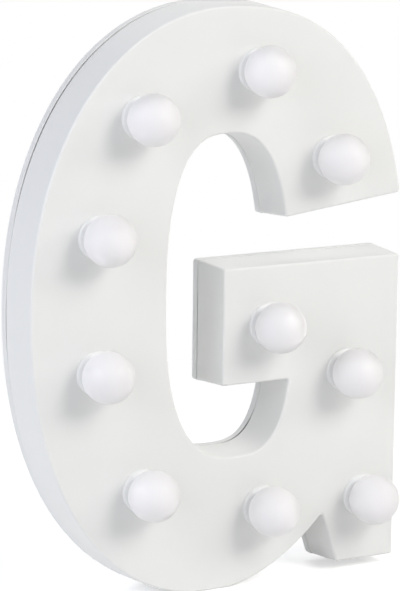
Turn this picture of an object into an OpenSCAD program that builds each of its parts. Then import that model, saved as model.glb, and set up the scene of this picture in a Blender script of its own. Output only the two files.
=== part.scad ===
// Battery letter light: a hollow moulded letter G with a row of opal globe lamps on its face.
// The letter stands upright on Z, its face looks towards -Y and its back cover towards +Y.
// The origin is under the middle of the whole lamp, on the surface that it stands on.
// Places on the face are written as [x, z] from the letter's left edge and its lowest point.
// Depths are measured backwards from the plane of the face.

/* [Letter] */
// Height of the letter
letter_h = 220; // [200:1:260]
// Width of the letter, from the bowl's left edge to the leg's right edge
letter_w = 158.6; // [150:0.1:190]
// Height at which the bowl is widest
mid_z = 110; // [95:1:125]
// Flat cut under the bowl for standing
stand_cut = 0.6; // [0.2:0.1:1.5]

/* [Rim of the bowl] */
// Distance of the bowl's top from its left edge
rim_top_x = 82; // [76:0.5:90]
// Distance of the bowl's lowest point from its left edge
rim_bottom_x = 78; // [72:0.5:86]
// How far the lower right curve would reach if it ran on past the foot
low_reach = 82; // [74:0.5:92]
// Squareness of the upper left curve, where 2 is an ellipse
rim_ul_power = 2.1; // [1.8:0.05:2.6]
// Squareness of the lower left curve
rim_ll_power = 2.15; // [1.8:0.05:2.6]
// Squareness of the upper right curve
rim_ur_power = 2.4; // [2:0.05:2.8]
// Squareness of the lower right curve
rim_lr_power = 1.85; // [1.7:0.05:2.2]

/* [Counter] */
// Width of the left stroke at its middle
stroke_left = 56.3; // [46:0.1:60]
// Thickness of the stroke at the top
stroke_top = 47; // [40:0.5:52]
// Thickness of the stroke at the bottom
stroke_bottom = 50.7; // [42:0.1:54]
// Distance of the counter's lowest point from the letter's left edge
counter_bottom_x = 86; // [82:0.5:90]
// Reach of the counter to the right of its top
counter_reach_top = 27; // [22:0.5:31]
// Reach of the counter to the right of its bottom
counter_reach_low = 25; // [22:0.5:28]
// Squareness of the counter's upper left curve
counter_ul_power = 2.65; // [2:0.05:3.2]
// Squareness of the counter's lower left curve
counter_ll_power = 2.5; // [2:0.05:3.2]
// Squareness of the counter's upper right curve
counter_ur_power = 2.6; // [2:0.05:3.2]
// Squareness of the counter's lower right curve
counter_lr_power = 3.1; // [2.4:0.05:3.6]

/* [Arm, crossbar and foot] */
// Height of the arm's inner corner, above the mouth
arm_in_z = 140; // [134:0.5:150]
// Height of the arm's outer corner
arm_out_z = 146.2; // [138:0.1:156]
// Height of the crossbar's top edge
bar_top = 122.4; // [112:0.1:127]
// Height of the crossbar's lower edge
bar_bottom = 78; // [72:0.5:86]
// Distance of the crossbar's end from the letter's left edge
bar_left = 80.6; // [76:0.1:92]
// Height of the foot's sole above the bowl's lowest point
foot_z = 3.75; // [0:0.05:8]
// Distance of the foot's heel from the letter's left edge
foot_left = 132.9; // [130:0.1:138]
// Distance of the notch between bowl and foot from the letter's left edge
notch_x = 126; // [120:0.5:129]

/* [Shell and back cover] */
// Wall of the front shell
wall = 2; // [1.6:0.1:2.6]
// Thickness of the back plate
plate_t = 2; // [1.6:0.1:2.6]
// How far the cover's edge stands forward of its plate
rim_step = 1; // [0.6:0.1:2]
// Open seam between the shell and the cover
seam = 0.3; // [0.1:0.05:0.4]
// How far the cover's edge stands out past the shell
cover_over = 1; // [0:0.1:1.5]
// Thickness of the lip that locates the cover in the shell
lip_t = 1.2; // [0.8:0.1:1.6]
// Length of that lip
lip_l = 2; // [1:0.5:4]
// Gap between the lip and the shell's wall
lip_gap = 0.2; // [0.1:0.05:0.4]

/* [Globe lamps] */
// Diameter of a globe
globe_d = 19.2; // [16:0.1:20]
// Height of a globe's centre above the face
globe_stand = 9.2; // [8:0.1:10]
// Wall of a globe
globe_wall = 0.8; // [0.6:0.1:1.2]
// Diameter of a globe's neck
neck_d = 12; // [11:0.1:13]
// Length of the neck behind the face
neck_l = 2.4; // [1.5:0.1:3]
// Diameter of the collar round each globe
collar_d = 16.4; // [16:0.1:20]
// Height of the collar above the face
collar_t = 1.6; // [1:0.1:2]
// Rounding of the collar's edge
collar_round = 0.8; // [0.3:0.1:1]
// Chamfer of the collar's mouth
collar_mouth = 0.4; // [0.3:0.1:0.6]
// Wall of the socket's barrel
barrel_wall = 1.2; // [0.8:0.1:1.6]
// Height of the ledge that carries the lamp board
ledge_t = 0.9; // [0.6:0.1:1.5]
// Width of that ledge
ledge_w = 1.5; // [1:0.1:2]
// Gap between a push-in piece and its seat
push_gap = 0.1; // [0.05:0.01:0.15]
// Gap round the barrel in the face
hole_gap = 0.2; // [0.1:0.05:0.4]
// Thickness of the push-on ring that holds a socket
ring_t = 0.95; // [0.6:0.05:1]
// Thickness of the lamp board
board_t = 1; // [0.8:0.1:1.6]
// Diameter of the light-emitting diode
led_d = 3; // [3:0.1:5]
// Distance between the diode's two pins
pin_pitch = 2.54; // [2:0.01:3.2]
// Diameter of a pin
pin_d = 0.5; // [0.4:0.05:0.6]

/* [Places of the lamps] */
// Place of the arm's lamp along the arm's end, 0 at the inner corner and 1 at the outer one
arm_lamp_share = 0.42; // [0.35:0.01:0.55]
// Distance of the arm's lamp from the arm's end
arm_lamp_in = 19.3; // [15:0.1:24]
// Angle of the lamp at the top, from the level of mid_z
ur_angle = 81; // [70:1:89]
// Its place across the stroke, 0 at the counter and 1 at the rim
ur_share = 0.51; // [0.4:0.01:0.6]
// Angles of the lamps on the upper left stroke
ul_angles = [51, 16]; // [5:1:85]
// Their places across the stroke
ul_shares = [0.55, 0.55]; // [0.4:0.01:0.6]
// Angles of the lamps on the lower left stroke
ll_angles = [12, 51]; // [5:1:85]
// Their places across the stroke
ll_shares = [0.54, 0.5]; // [0.4:0.01:0.6]
// Angle of the lamp at the bottom of the bowl
lr_angle = 73; // [65:1:85]
// Its place across the stroke
lr_share = 0.47; // [0.4:0.01:0.6]
// Distance of the foot's lamp from the leg's right edge
foot_lamp_in = 15; // [13:0.1:18]
// Height of the foot's lamp above the sole
foot_lamp_up = 25.5; // [22:0.1:30]
// Height of the leg's lamp above the crossbar's lower edge
leg_lamp_up = 1.5; // [0:0.1:4]
// Distance of the crossbar's lamp from the bar's end
bar_lamp_in = 19.5; // [16:0.1:24]

/* [Wiring] */
// Diameter of an insulated wire
wire_d = 1.2; // [0.8:0.1:1.4]
// Free depth between the sockets and the wires
wire_gap = 0.7; // [0.5:0.1:1.2]
// Free depth between the wires and the battery bay
wire_room = 0.9; // [0.5:0.1:2]
// Height by which the wires pass over the notch beside the foot
notch_pass = 14; // [12:0.5:18]
// Diameter of the series resistor
resistor_d = 2.2; // [1.8:0.1:3]
// Length of the series resistor
resistor_l = 6; // [4:0.5:7]

/* [Battery bay] */
// Diameter of a battery cell, size AAA
cell_d = 10.5; // [10:0.1:11.5]
// Length of a battery cell with its nub
cell_l = 44.5; // [43:0.1:46]
// Gap between the two cells
cell_gap = 0.8; // [0.4:0.1:2]
// Gap beside and under a cell
cell_clear = 0.25; // [0.2:0.05:0.6]
// Room that a pressed contact spring takes
spring_room = 4.6; // [4.2:0.1:7]
// Wire of the contact spring
spring_wire = 0.6; // [0.4:0.05:0.7]
// Turns of the contact spring
spring_turns = 3; // [2:0.5:3]
// Thickness of the contact plates
contact_t = 0.4; // [0.3:0.05:0.6]
// Wall of the bay
bay_wall = 1.5; // [1.2:0.1:2]
// Floor of the bay
bay_floor = 1.2; // [1:0.1:2]
// Height of the bay's lower end above the letter's lowest point
bay_z = 34; // [28:0.5:38]

/* [Battery door] */
// Thickness of the door
door_t = 1.5; // [1.2:0.1:1.8]
// Free depth between the cells and the door
door_clear = 0.65; // [0.4:0.05:1.5]
// Overlap of the door on the bay's wall
door_lap = 1.1; // [0.8:0.1:1.1]
// Gap round the door
door_gap = 0.3; // [0.25:0.05:0.4]
// Gap between the door and the wall under it
seat_gap = 0.05; // [0.02:0.01:0.1]
// Radius of the door's hinge barrel
hinge_r = 1.7; // [1.6:0.1:2.2]
// Radius of the hinge pins
hinge_pin_r = 0.8; // [0.6:0.05:0.9]
// Length of the hinge pins
hinge_pin_l = 2; // [1.5:0.1:3]
// Running gap of the hinge pins
hinge_gap = 0.05; // [0.03:0.01:0.1]
// Width of the cheeks that hold the hinge pins
cheek_w = 3.2; // [3:0.1:4]
// Radius of the finger scoop below the door
scoop_r = 7; // [5:0.5:9]
// Depth of the finger scoop
scoop_t = 1; // [0.6:0.1:1.2]

/* [Switch] */
// Height of the switch above the crossbar's lower edge
switch_up = 27; // [24:0.5:32]
// Travel of the switch knob
knob_travel = 3; // [2:0.1:3.4]
// Width of the knob along its travel
knob_w = 4; // [3:0.1:4.4]
// Height of the knob across its travel
knob_h = 3; // [2.4:0.1:3.2]
// How far the knob stays below the back face
knob_sink = 0.3; // [0.1:0.1:1]
// Gap round the knob in its slots
knob_gap = 0.3; // [0.2:0.05:0.4]
// Length of the switch's can
can_l = 12.5; // [12:0.1:14]
// Height of the switch's can
can_h = 6; // [5.6:0.1:7]
// Depth of the switch's can
can_d = 5.5; // [5:0.1:7]
// Sheet thickness of the can
can_t = 0.5; // [0.3:0.05:0.6]
// Distance of each mounting post from the switch's middle
post_x = 8.5; // [8.2:0.1:9.5]
// Diameter of the mounting posts
post_d = 2; // [1.6:0.1:2.4]

/* [Screws] */
// Distance of the screws from the letter's edge
screw_in = 8.5; // [8:0.1:10]
// Angle of the screw in the arm, from the level of mid_z
screw_ur_angle = 26; // [22:1:32]
// Angles of the screws in the upper left stroke
screw_ul_angles = [80, 33]; // [25:1:85]
// Angles of the screws in the lower left stroke
screw_ll_angles = [20, 68]; // [15:1:75]
// Diameter of a screw's head
head_d = 5.2; // [4.6:0.1:5.6]
// Height of a screw's head
head_h = 1.6; // [1.2:0.1:1.8]
// Diameter of a screw's shank
shank_d = 2.2; // [2:0.1:2.6]
// Length of a screw's shank
shank_l = 10; // [6:0.5:12]
// Depth of the recess over a screw's head
head_recess = 2; // [1.8:0.1:2.6]
// Thickness of the cover under a screw's head
seat_t = 1.8; // [1.4:0.1:2.4]
// Wall of the shell's screw posts
boss_wall = 2; // [1.4:0.1:2.2]
// Gap between a screw and its holes
screw_gap = 0.1; // [0.05:0.01:0.15]

/* [Keyhole] */
// Height of the keyhole's entry below the letter's top
key_down = 24; // [20:0.5:30]
// Radius of the keyhole's entry
key_r = 4; // [3.5:0.1:5]
// Radius of the keyhole's slot
key_slot_r = 2; // [1.5:0.1:2.4]
// Rise of the slot above the entry's centre
key_rise = 8; // [6:0.5:10]

/* [Hidden] */
$fn = 64;
// Straight pieces in each quarter of a round outline
arc_steps = 18;
// Extra length of a cutting tool past the face that it cuts
cut = 1;

// Depths behind the face, from front to back
neck_gap = 0.2;
board_front = neck_l + neck_gap;
board_rear = board_front + board_t;
barrel_l = board_rear + push_gap + ledge_t;
wire_depth = barrel_l + wire_gap + wire_d / 2;
bay_front = wire_depth + wire_d / 2 + wire_room;
bay_inside = bay_front + bay_floor;
cell_depth = bay_inside + cell_clear + cell_d / 2;
door_inside = cell_depth + cell_d / 2 + door_clear;
body_d = door_inside + door_t;
plate_inside = body_d - plate_t;
cover_front = plate_inside - rim_step;
shell_d = cover_front - seam;
lip_in = wall + lip_gap + lip_t;

// The lamp is centred front to back on its whole depth
globe_front = globe_stand + globe_d / 2;
face_y = (globe_front - body_d) / 2;

// Quarter curves of the letter: [centre x, reach in x, reach in z, squareness]
arm_angle = asin(pow((arm_out_z - mid_z) / (letter_h - mid_z), rim_ur_power / 2));
rim_reach = (letter_w - rim_top_x) / pow(cos(arm_angle), 2 / rim_ur_power);
rim_ul = [rim_top_x, -rim_top_x, letter_h - mid_z, rim_ul_power];
rim_ll = [rim_bottom_x, -rim_bottom_x, -(mid_z + stand_cut), rim_ll_power];
rim_ur = [rim_top_x, rim_reach, letter_h - mid_z, rim_ur_power];
rim_lr = [rim_bottom_x, low_reach, -(mid_z + stand_cut), rim_lr_power];
counter_rise = letter_h - stroke_top - mid_z;
counter_drop = stroke_bottom - mid_z;
counter_ul = [rim_top_x, stroke_left - rim_top_x, counter_rise, counter_ul_power];
counter_ll = [counter_bottom_x, stroke_left - counter_bottom_x, counter_drop, counter_ll_power];
counter_ur = [rim_top_x, counter_reach_top, counter_rise, counter_ur_power];
counter_lr = [counter_bottom_x, counter_reach_low, counter_drop, counter_lr_power];

// Point of a quarter curve, drawn in by an inset, never below the surface that the letter stands on
function on_curve(q, angle, inset = 0) = [
    q[0] + (q[1] - sign(q[1]) * inset) * pow(cos(angle), 2 / q[3]),
    max(0, mid_z + (q[2] - sign(q[2]) * inset) * pow(sin(angle), 2 / q[3]))
];
function angle_at_z(q, z) = asin(pow((z - mid_z) / q[2], q[3] / 2));
function angle_at_x(q, x) = acos(pow((x - q[0]) / q[1], q[3] / 2));
function curve(q, from, to, skip = 1) = [
    for (i = [skip : arc_steps]) on_curve(q, from + (to - from) * i / arc_steps)
];
letter_points = concat(
    curve(rim_ur, arm_angle, 90, 0),
    curve(rim_ul, 90, 0),
    curve(rim_ll, 0, 90),
    curve(rim_lr, 90, angle_at_x(rim_lr, notch_x)),
    [[foot_left, foot_z], [letter_w, foot_z]],
    [[letter_w, bar_top], [bar_left, bar_top], [bar_left, bar_bottom]],
    curve(counter_lr, angle_at_z(counter_lr, bar_bottom), 90, 0),
    curve(counter_ll, 90, 0),
    curve(counter_ul, 0, 90),
    curve(counter_ur, 90, angle_at_z(counter_ur, arm_in_z))
);

// Lamps, in the order in which the wires visit them, from the arm round the bowl to the crossbar
function across(rim, counter, angle, share) =
    (1 - share) * on_curve(counter, angle) + share * on_curve(rim, angle);
leg_x = (counter_bottom_x + counter_reach_low + letter_w) / 2;
bar_mid = (bar_top + bar_bottom) / 2;
arm_inner = on_curve(counter_ur, angle_at_z(counter_ur, arm_in_z));
arm_end = [letter_w, arm_out_z] - arm_inner;
arm_up = [-arm_end[1], arm_end[0]] / norm(arm_end);
lamps = concat(
    [arm_inner + arm_lamp_share * arm_end + arm_lamp_in * arm_up],
    [across(rim_ur, counter_ur, ur_angle, ur_share)],
    [for (i = [0 : 1]) across(rim_ul, counter_ul, ul_angles[i], ul_shares[i])],
    [for (i = [0 : 1]) across(rim_ll, counter_ll, ll_angles[i], ll_shares[i])],
    [across(rim_lr, counter_lr, lr_angle, lr_share)],
    [[letter_w - foot_lamp_in, foot_z + foot_lamp_up]],
    [[leg_x, bar_bottom + leg_lamp_up]],
    [[bar_left + bar_lamp_in, bar_mid]]
);
lamp_count = len(lamps);

// Places of the cover's screws and of the keyhole
screw_places = [
    on_curve(rim_ur, screw_ur_angle, screw_in),
    for (angle = screw_ul_angles) on_curve(rim_ul, angle, screw_in),
    for (angle = screw_ll_angles) on_curve(rim_ll, angle, screw_in),
    [letter_w - screw_in, foot_z + screw_in],
    [letter_w - screw_in, bar_top - screw_in],
    [bar_left + screw_in, bar_top - screw_in]
];
key_place = [rim_top_x, letter_h - key_down];
head_seat = body_d - head_recess;
boss_rear = head_seat - seat_t - seat_gap;
pilot_r = shank_d / 2 + screw_gap;
boss_r = pilot_r + boss_wall;
cup_wall = 1.8;
cup_r = head_d / 2 + cup_wall;

// Battery bay in the leg: two cells side by side, the right one with its nub up
cell_r = cell_d / 2;
cell_x = (cell_d + cell_gap) / 2;
nub_h = 0.8;
nub_r = 1.9;
touch = 0.05;
bay_w = 2 * cell_d + cell_gap + 2 * cell_clear;
bay_l = cell_l + spring_room + 2 * contact_t + 2 * touch;
bay_top = bay_z + bay_l;
contact_w = 8;
tail_w = 2;
tail_out = 2.5;
tail_l = bay_wall + tail_out;
tail_gap = 0.2;

// Battery door, hung from a barrel above the bay
door_w = bay_w + 2 * door_lap;
door_z = bay_z - door_lap;
hinge_depth = body_d - hinge_r;
hinge_z = bay_top + bay_wall + door_gap + hinge_r;
nib_r = 0.45 * door_t;
nib_out = 0.15;
grip_count = 3;
grip_step = 2;
grip_t = 0.4;
cheek_side = 2;

// Slide switch above the door
switch_place = [leg_x, bar_bottom + switch_up];
can_front = plate_inside - push_gap - can_d;
knob_foot = 1;
knob_base_w = knob_w + 2 * knob_foot;
knob_base_h = can_h - 2 * can_t - 2 * knob_gap;
knob_base_t = 1.4;
slot_w = knob_w + knob_travel + 2 * knob_gap;
slot_h = knob_h + 2 * knob_gap;
ear_margin = 1.2;
ear_l = 2 * (post_x + ear_margin) + post_d;
ear_h = post_d + 2 * ear_margin;
post_end = 1;
terminal_x = 2.5;
terminal_l = 2;
terminal_w = 0.8;
dish_margin = 4;
dish_t = 0.8;

// Sockets and lamp boards
neck_r = neck_d / 2;
barrel_in = neck_r + push_gap;
barrel_r = barrel_in + barrel_wall;
collar_r = collar_d / 2;
board_r = neck_r - push_gap;
led_r = led_d / 2;
led_rim = 0.4;
led_rim_t = 1;
led_body = 4;
pin_gap = 0.05;

// Smooth path through a list of 3-D points, with the corners drawn as quarter curves
function unit(v) = v / norm(v);
function corner(p, i, reach, steps) =
    let (a = p[i] + reach * unit(p[i - 1] - p[i]), c = p[i] + reach * unit(p[i + 1] - p[i]))
    [for (k = [0 : steps]) let (t = k / steps) (1 - t) * (1 - t) * a + 2 * t * (1 - t) * p[i] + t * t * c];
function rounded(p, reach, steps = 4) = concat(
    [p[0]],
    [for (i = [1 : len(p) - 2]) each corner(p, i, reach, steps)],
    [p[len(p) - 1]]
);
function heading(p, i) = unit(p[min(i + 1, len(p) - 1)] - p[max(i - 1, 0)]);

// Wire route from lamp to lamp, with a guide point over the notch and one past the foot's lamp
notch_z = on_curve(rim_lr, angle_at_x(rim_lr, notch_x))[1];
notch_back = 4;
foot_turn = [6.5, 7];
bowl_lamps = 7;
route = concat(
    [for (i = [0 : bowl_lamps - 1]) lamps[i]],
    [[notch_x - notch_back, notch_z + notch_pass]],
    [lamps[bowl_lamps], lamps[bowl_lamps] + foot_turn],
    [for (i = [bowl_lamps + 1 : lamp_count - 1]) lamps[i]]
);
function stop_of(lamp) = lamp < bowl_lamps ? lamp : lamp == bowl_lamps ? lamp + 1 : lamp + 2;
function sideways(v) = [v[1], -v[0]];
function route_side(stop) = sideways(heading(route, stop));
wire_end = 4;
bus_bend = 3;
function bus_corners(side) =
    let (last = len(route) - 1, off = side * pin_pitch / 2)
    concat(
        [route[0] + off * route_side(0) - wire_end * heading(route, 0)],
        [for (i = [0 : last]) route[i] + off * route_side(i)],
        [route[last] + off * route_side(last) + wire_end * heading(route, last)]
    );
function tap(side, share) =
    let (last = len(route) - 1, a = bus_corners(side)[last], b = bus_corners(side)[last + 1])
    (1 - share) * a + share * b;

// A point [x, z] on the letter at a depth behind the face
function deep(p, depth) = [p[0] - letter_w / 2, face_y + depth, p[1]];

echo(body_depth = body_d, total_depth = globe_front + body_d, door_hinge_z = hinge_z);
echo(hinge_y = face_y + hinge_depth, back_y = face_y + body_d, keyhole = deep(key_place, body_d));
spring_travel = spring_room - 2 * touch - spring_wire;
echo(least_spring_gap = spring_travel / spring_turns - spring_wire);

LAMP_PIECES = ["globe_", "socket_", "led_", "led_board_"];

// The letter's flat shape, drawn in from its edge
module letter(inset = 0) {
    if (inset == 0) {
        polygon(letter_points);
    } else {
        offset(delta = -inset) polygon(letter_points);
    }
}

// A slab of a flat shape that ends at a depth and runs forward by its thickness
module slab(rear, thickness) {
    translate([-letter_w / 2, face_y + rear, 0]) rotate([90, 0, 0]) linear_extrude(thickness) children();
}

// Puts a shape at a place on the letter, its own Z running forward from a depth
module at(place, depth) {
    translate(deep(place, depth)) rotate([90, 0, 0]) children();
}

// A block centred on a place, from a rear depth forward
module block(place, rear, size) {
    at(place, rear) translate([-size[0] / 2, -size[1] / 2, 0]) cube(size);
}

// A round wire along a path, as one closed skin
module tube(path, d, level, sides = 8) {
    last = len(path) - 1;
    points = [
        for (i = [0 : last])
            let (t = heading(path, i), s = unit(cross(t, level)), u = cross(s, t))
            for (k = [0 : sides - 1])
                path[i] + d / 2 * (cos(360 * k / sides) * s + sin(360 * k / sides) * u)
    ];
    function at_ring(i, k) = i * sides + k % sides;
    skin = [
        for (i = [0 : last - 1]) for (k = [0 : sides - 1]) each [
            [at_ring(i, k), at_ring(i + 1, k), at_ring(i + 1, k + 1)],
            [at_ring(i, k), at_ring(i + 1, k + 1), at_ring(i, k + 1)]
        ]
    ];
    start = [for (k = [1 : sides - 2]) [at_ring(0, 0), at_ring(0, k), at_ring(0, k + 1)]];
    end = [for (k = [1 : sides - 2]) [at_ring(last, 0), at_ring(last, k + 1), at_ring(last, k)]];
    polyhedron(points, concat(skin, start, end));
}

module front_shell() {
    color("white")
    difference() {
        union() {
            difference() {
                slab(shell_d, shell_d) letter();
                slab(shell_d + cut, shell_d + cut - wall) letter(wall);
            }
            for (p = screw_places) at(p, boss_rear) cylinder(r = boss_r, h = boss_rear - wall / 2);
        }
        for (p = lamps) at(p, wall + cut) cylinder(r = barrel_r + hole_gap, h = wall + 2 * cut);
        for (p = screw_places) at(p, boss_rear + cut) cylinder(r = pilot_r, h = shank_l + cut);
    }
}

// The cover's outline stands out past the shell, with its sharp tips cut off, but not below the standing surface
module cover_outline() {
    intersection() {
        letter(-cover_over);
        translate([-cover_over, 0]) square([letter_w + 2 * cover_over, letter_h + cover_over]);
    }
}

module cover_body() {
    difference() {
        union() {
            slab(body_d, body_d - cover_front) cover_outline();
            slab(body_d - plate_t / 2, body_d - plate_t / 2 - cover_front + lip_l) letter(wall + lip_gap);
        }
        slab(plate_inside, body_d) letter(lip_in);
    }
}

module bay_box() {
    middle = [leg_x, (bay_z + bay_top) / 2];
    height = body_d - plate_t / 2 - bay_front;
    block(middle, body_d - plate_t / 2, [bay_w + 2 * bay_wall, bay_l + 2 * bay_wall, height]);
}

module bay_cuts() {
    middle = [leg_x, (bay_z + bay_top) / 2];
    block(middle, body_d + cut, [bay_w, bay_l, body_d + cut - bay_inside]);
    door_low = door_z - 2 * door_gap;
    door_high = hinge_z + hinge_r + door_gap;
    door_middle = [leg_x, (door_low + door_high) / 2];
    door_cut = door_t + seat_gap + cut;
    block(door_middle, body_d + cut, [door_w + 2 * door_gap, door_high - door_low, door_cut]);
    hinge_cut = 2 * hinge_r + door_gap + cut;
    block([leg_x, hinge_z], body_d + cut, [door_w + 2 * door_gap, 2 * (hinge_r + door_gap), hinge_cut]);
    pin_reach = door_w / 2 + hinge_pin_l + door_gap;
    translate(deep([leg_x - pin_reach, hinge_z], hinge_depth))
        rotate([0, 90, 0]) cylinder(r = hinge_pin_r + hinge_gap, h = 2 * pin_reach);
    at([leg_x, door_z - scoop_r / 2], body_d + cut) cylinder(r = scoop_r, h = scoop_t + cut);
    for (side = [-1, 1]) {
        block([leg_x + side * cell_x, bay_top + bay_wall / 2], cell_depth + contact_t / 2 + tail_gap,
            [tail_w + 2 * tail_gap, bay_wall + 2 * cut, contact_t + 2 * tail_gap]);
    }
}

module hinge_cheeks() {
    cheek_h = 2 * (hinge_pin_r + hinge_gap + cheek_side);
    cheek_front = hinge_depth - cheek_h / 2;
    for (side = [-1, 1]) {
        block([leg_x + side * (door_w / 2 + door_gap + cheek_w / 2), hinge_z], body_d - plate_t / 2,
            [cheek_w, cheek_h, body_d - plate_t / 2 - cheek_front]);
    }
}

module switch_cuts() {
    block(switch_place, body_d + cut, [slot_w, slot_h, plate_t + 2 * cut]);
    block(switch_place, body_d + cut, [slot_w + 2 * dish_margin, slot_h + dish_margin, dish_t + cut]);
}

module switch_posts() {
    for (side = [-1, 1]) {
        at(switch_place + [side * post_x, 0], body_d - plate_t / 2)
            cylinder(d = post_d, h = plate_t / 2 + 2 * can_t + post_end);
    }
}

module back_cover() {
    color("whitesmoke")
    difference() {
        union() {
            cover_body();
            bay_box();
            hinge_cheeks();
            switch_posts();
            for (p = screw_places) {
                at(p, body_d - plate_t / 2)
                    cylinder(r = cup_r, h = body_d - plate_t / 2 - head_seat + seat_t);
            }
        }
        bay_cuts();
        switch_cuts();
        for (p = screw_places) {
            at(p, body_d + cut) cylinder(r = head_d / 2 + screw_gap, h = head_recess + cut);
            at(p, body_d + cut) cylinder(r = pilot_r + screw_gap, h = body_d + cut - boss_rear);
        }
        at(key_place, body_d + cut) cylinder(r = key_r, h = plate_t + 2 * cut);
        at(key_place + [0, key_rise], body_d + cut) cylinder(r = key_slot_r, h = plate_t + 2 * cut);
        block(key_place + [0, key_rise / 2], body_d + cut, [2 * key_slot_r, key_rise, plate_t + 2 * cut]);
    }
}

module cover_screws() {
    cross_w = 0.6;
    cross_l = 0.6 * head_d;
    cross_t = 0.8;
    color("silver")
    for (p = screw_places) {
        difference() {
            union() {
                at(p, head_seat + head_h) cylinder(d = head_d, h = head_h);
                at(p, head_seat + head_h / 2) cylinder(d = shank_d, h = shank_l - screw_gap);
            }
            block(p, head_seat + head_h + cut, [cross_l, cross_w, cross_t + cut]);
            block(p, head_seat + head_h + cut, [cross_w, cross_l, cross_t + cut]);
        }
    }
}

module battery_door() {
    door_l = hinge_z - door_z;
    color("whitesmoke")
    difference() {
        union() {
            block([leg_x, door_z + door_l / 2], body_d, [door_w, door_l, door_t]);
            translate(deep([leg_x - door_w / 2, hinge_z], hinge_depth))
                rotate([0, 90, 0]) cylinder(r = hinge_r, h = door_w);
            translate(deep([leg_x - door_w / 2 - hinge_pin_l, hinge_z], hinge_depth))
                rotate([0, 90, 0]) cylinder(r = hinge_pin_r, h = door_w + 2 * hinge_pin_l);
            translate(deep([leg_x - scoop_r / 2, door_z + nib_r - nib_out], body_d - door_t / 2))
                rotate([0, 90, 0]) cylinder(r = nib_r, h = scoop_r);
        }
        for (i = [1 : grip_count]) {
            block([leg_x, door_z + grip_step * (i + 1)], body_d + cut,
                [door_w / 2, grip_step / 3, grip_t + cut]);
        }
    }
}

// A cell stands on its flat end, or on its nub when it is turned over
module cell(nub_up) {
    body_l = cell_l - nub_h;
    translate([0, 0, nub_up ? 0 : nub_h]) cylinder(r = cell_r, h = body_l);
    translate([0, 0, nub_up ? body_l - cut : 0]) cylinder(r = nub_r, h = nub_h + cut);
}

module battery_1() {
    color("dimgray")
    translate(deep([leg_x - cell_x, bay_z + contact_t + touch], cell_depth)) cell(false);
}

module battery_2() {
    color("dimgray")
    translate(deep([leg_x + cell_x, bay_top - contact_t - touch - cell_l], cell_depth)) cell(true);
}

// A plate on the bay's upper end with a tail that passes through the wall
module end_contact(x) {
    block([x, bay_top - contact_t / 2], cell_depth + contact_w / 2, [contact_w, contact_t, contact_w]);
    block([x, bay_top - contact_t / 2 + tail_l / 2], cell_depth + contact_t / 2, [tail_w, tail_l, contact_t]);
}

module contact_positive() {
    color("gold") end_contact(leg_x + cell_x);
}

module contact_negative() {
    color("gold") end_contact(leg_x - cell_x);
}

module contact_bridge() {
    color("gold")
    block([leg_x, bay_z + contact_t / 2], cell_depth + contact_w / 2,
        [2 * cell_x + contact_w, contact_t, contact_w]);
}

// A tapered spring that stands on its wide end
module contact_spring(x, from_z, up) {
    wide = 3.6;
    narrow = 2.6;
    turn_steps = 8;
    rings = turn_steps * spring_turns;
    path = [
        for (i = [0 : rings])
            let (s = i / rings, r = wide + (narrow - wide) * s, a = 360 * spring_turns * s)
            deep([x, from_z], cell_depth)
                + [r * cos(a), r * sin(a), up * (touch + spring_wire / 2 + spring_travel * s)]
    ];
    color("silver") tube(path, spring_wire, [0, 0, 1], 6);
}

module contact_spring_1() {
    contact_spring(leg_x - cell_x, bay_top - contact_t, -1);
}

module contact_spring_2() {
    contact_spring(leg_x + cell_x, bay_z + contact_t, 1);
}

module switch_can() {
    rear = plate_inside - push_gap;
    color("lightgray") {
        difference() {
            union() {
                block(switch_place, rear, [can_l, can_h, can_d]);
                block(switch_place, rear, [ear_l, ear_h, can_t]);
            }
            block(switch_place, rear - can_t, [can_l - 2 * can_t, can_h - 2 * can_t, can_d - 2 * can_t]);
            block(switch_place, rear + cut, [slot_w, slot_h, can_t + 2 * cut]);
            for (side = [-1, 1]) {
                at(switch_place + [side * post_x, 0], rear + cut)
                    cylinder(d = post_d + 2 * push_gap, h = can_t + 2 * cut);
            }
        }
        for (side = [-1, 1]) {
            block(switch_place + [side * terminal_x, 0], can_front, [terminal_w, terminal_w, terminal_l]);
        }
    }
}

module switch_knob() {
    place = switch_place - [knob_travel / 2, 0];
    base_rear = plate_inside - push_gap - can_t - knob_gap;
    rear = body_d - knob_sink;
    color("black") {
        block(place, rear, [knob_w, knob_h, rear - base_rear + knob_base_t / 2]);
        block(place, base_rear, [knob_base_w, knob_base_h, knob_base_t]);
    }
}

// Leads run straight beside an end, bend round a corner and dip in front of a terminal
lead_run = 4;
lead_dip = 3;
lead_bend = 1.2;
resistor_away = 6;
resistor_place = switch_place - [can_l / 2 + resistor_l + resistor_away, 0];
resistor_lead = 2.5;
resistor_depth = can_front;

module resistor() {
    color("tan") translate(deep(resistor_place - [resistor_l / 2, 0], resistor_depth))
        rotate([0, 90, 0]) cylinder(d = resistor_d, h = resistor_l);
    color("silver") translate(deep(resistor_place - [resistor_l / 2 + resistor_lead, 0], resistor_depth))
        rotate([0, 90, 0]) cylinder(d = pin_d, h = resistor_l + 2 * resistor_lead);
}

// From the right cell's contact to the switch
module lead_positive() {
    from = [leg_x + cell_x, bay_top - contact_t / 2 + tail_l + touch];
    to = switch_place + [terminal_x, 0];
    end_depth = can_front - terminal_l - touch;
    corners = [
        deep(from, cell_depth),
        deep(from + [0, lead_run], cell_depth),
        deep(to - [0, lead_run], end_depth - lead_dip),
        deep(to, end_depth - lead_dip),
        deep(to, end_depth)
    ];
    color("red") tube(rounded(corners, lead_bend), wire_d, [1, 0, 0]);
}

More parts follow.
